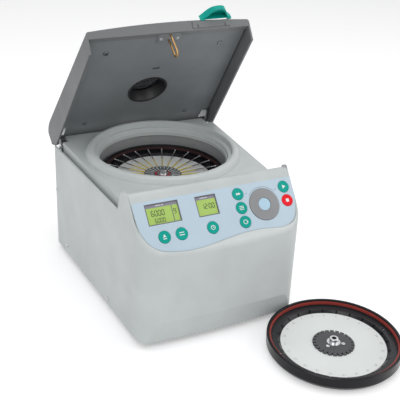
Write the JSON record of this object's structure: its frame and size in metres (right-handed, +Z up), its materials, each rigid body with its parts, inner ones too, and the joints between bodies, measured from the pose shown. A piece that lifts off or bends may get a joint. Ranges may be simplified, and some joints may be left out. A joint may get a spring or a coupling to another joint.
{
  "type": "hematocrit centrifuge",
  "caption": "Benchtop hematocrit centrifuge with a hinged lid, sloped keypad, round collar and bowl, capillary-tube rotor and a spare rotor beside it",
  "frame": {"origin": "on the bench plane directly under the rotor's spindle axis", "axes": "+Z up, -Y towards the keypad front, +X to the right seen from the front"},
  "size_m": [0.3646, 0.549, 0.4232],
  "materials": {
    "housing_plastic": "satin light grey",
    "lid_plastic": "satin light grey",
    "lining_plastic": "matt dark grey",
    "collar_rubber": "soft light grey rubber",
    "film_plastic": "pale blue keypad film",
    "teal_plastic": "teal",
    "red_plastic": "red",
    "dial_plastic": "mid grey",
    "cap_plastic": "light blue centre cap",
    "display_plastic": "yellow-green display",
    "board_plastic": "green board",
    "coated_steel": "grey coated sheet steel",
    "cast_aluminium": "cast aluminium",
    "steel": "bright steel",
    "black_rubber": "black rubber",
    "black_plastic": "black plastic",
    "clear_window": "clear acrylic",
    "brass_wire": "yellow passivated wire",
    "rotor_aluminium": "black anodised",
    "red_rubber": "dark red rubber",
    "disc_plastic": "white numbered disc",
    "tube_glass": "clear glass capillary"
  },
  "bodies": {
    "base": {"casing": "housing_plastic", "deck_cover": "housing_plastic", "keypad_film": "film_plastic", "control_board": "board_plastic", "display_modules": "display_plastic", "dial_encoder": "cap_plastic", "rotor_bowl": "coated_steel", "bowl_collar": "collar_rubber", "motor_case": "cast_aluminium", "motor_winding": "steel", "motor_shields": "cast_aluminium", "motor_bearings": "steel", "motor_plate": "coated_steel", "motor_dampers": "black_rubber", "base_tray": "coated_steel", "rubber_feet": "black_rubber", "casing_screws": "steel", "rear_panel": "coated_steel", "mains_inlet": "black_plastic", "power_board": "board_plastic", "hinge_brackets": "steel", "hinge_pins": "steel", "lock_housing": "black_plastic", "lock_solenoid": "steel"},
    "lid": {"lid_shell": "lid_plastic", "lid_lining": "lining_plastic", "lining_screws": "steel", "port_funnel": "black_plastic", "sight_glass": "clear_window", "lock_bail": "brass_wire", "bail_plate": "black_plastic", "lid_handle": "teal_plastic", "handle_clip": "lining_plastic", "hinge_arms": "steel"},
    "rotor": {"motor_shaft": "steel", "motor_core": "steel", "motor_fan": "cast_aluminium", "rotor_dish": "rotor_aluminium", "rotor_gasket": "red_rubber", "rotor_number_disc": "disc_plastic", "rotor_hub_disc": "rotor_aluminium", "rotor_hub_fasteners": "steel", "capillary_tubes": "tube_glass"},
    "spare_rotor": {"spare_dish": "rotor_aluminium", "spare_gasket": "red_rubber", "spare_number_disc": "disc_plastic", "spare_hub_disc": "rotor_aluminium", "spare_hub_fasteners": "steel"},
    "key_open_lid_cap": {"key_open_lid": "teal_plastic"},
    "key_select_cap": {"key_select": "teal_plastic"},
    "key_time_cap": {"key_time": "teal_plastic"},
    "key_quick_cap": {"key_quick": "teal_plastic"},
    "key_program_cap": {"key_program": "teal_plastic"},
    "key_recall_cap": {"key_recall": "teal_plastic"},
    "key_start_cap": {"key_start": "teal_plastic"},
    "key_stop_cap": {"key_stop": "red_plastic"},
    "dial": {"dial_ring": "dial_plastic"},
    "bolt": {"lock_bolt": "steel"},
    "fuse": {"fuse_drawer": "black_plastic"},
    "rocker": {"switch_rocker": "black_plastic"}
  },
  "joints": [
    {"name": "lid_hinge", "type": "hinge", "parent": "base", "child": "lid", "pos_m": [0, 0.10245, 0.17898], "axis": [1, 0, 0], "range_deg": [0, 53.5]},
    {"name": "rotor_spin", "type": "hinge", "parent": "base", "child": "rotor", "pos_m": [0, 0, 0.15], "axis": [0, 0, 1], "continuous": true},
    {"name": "press_open_lid", "type": "slide", "parent": "base", "child": "key_open_lid_cap", "axis": [0, 0.7508, -0.6605], "range_m": [0, 0.0006], "stiffness_N_per_m": 1500},
    {"name": "press_select", "type": "slide", "parent": "base", "child": "key_select_cap", "axis": [0, 0.7508, -0.6605], "range_m": [0, 0.0006], "stiffness_N_per_m": 1500},
    {"name": "press_time", "type": "slide", "parent": "base", "child": "key_time_cap", "axis": [0, 0.7508, -0.6605], "range_m": [0, 0.0006], "stiffness_N_per_m": 1500},
    {"name": "press_quick", "type": "slide", "parent": "base", "child": "key_quick_cap", "axis": [0, 0.7508, -0.6605], "range_m": [0, 0.0006], "stiffness_N_per_m": 1500},
    {"name": "press_program", "type": "slide", "parent": "base", "child": "key_program_cap", "axis": [0, 0.7508, -0.6605], "range_m": [0, 0.0006], "stiffness_N_per_m": 1500},
    {"name": "press_recall", "type": "slide", "parent": "base", "child": "key_recall_cap", "axis": [0, 0.7508, -0.6605], "range_m": [0, 0.0006], "stiffness_N_per_m": 1500},
    {"name": "press_start", "type": "slide", "parent": "base", "child": "key_start_cap", "axis": [0, 0.7508, -0.6605], "range_m": [0, 0.0006], "stiffness_N_per_m": 1500},
    {"name": "press_stop", "type": "slide", "parent": "base", "child": "key_stop_cap", "axis": [0, 0.7508, -0.6605], "range_m": [0, 0.0006], "stiffness_N_per_m": 1500},
    {"name": "dial_turn", "type": "hinge", "parent": "base", "child": "dial", "pos_m": [0.07, -0.19238, 0.18462], "axis": [0, -0.7508, 0.6605], "continuous": true},
    {"name": "lock_slide", "type": "slide", "parent": "base", "child": "bolt", "axis": [1, 0, 0], "range_m": [0, 0.012]},
    {"name": "fuse_slide", "type": "slide", "parent": "base", "child": "fuse", "axis": [0, 1, 0], "range_m": [0, 0.012]},
    {"name": "switch_rock", "type": "hinge", "parent": "base", "child": "rocker", "pos_m": [0.046, 0.111, 0.062], "axis": [1, 0, 0], "range_deg": [-14, 0]},
    {"name": "spare_lift", "type": "slide", "parent": "base", "child": "spare_rotor", "axis": [0, 0, 1], "range_m": [0, 0.15]}
  ]
}
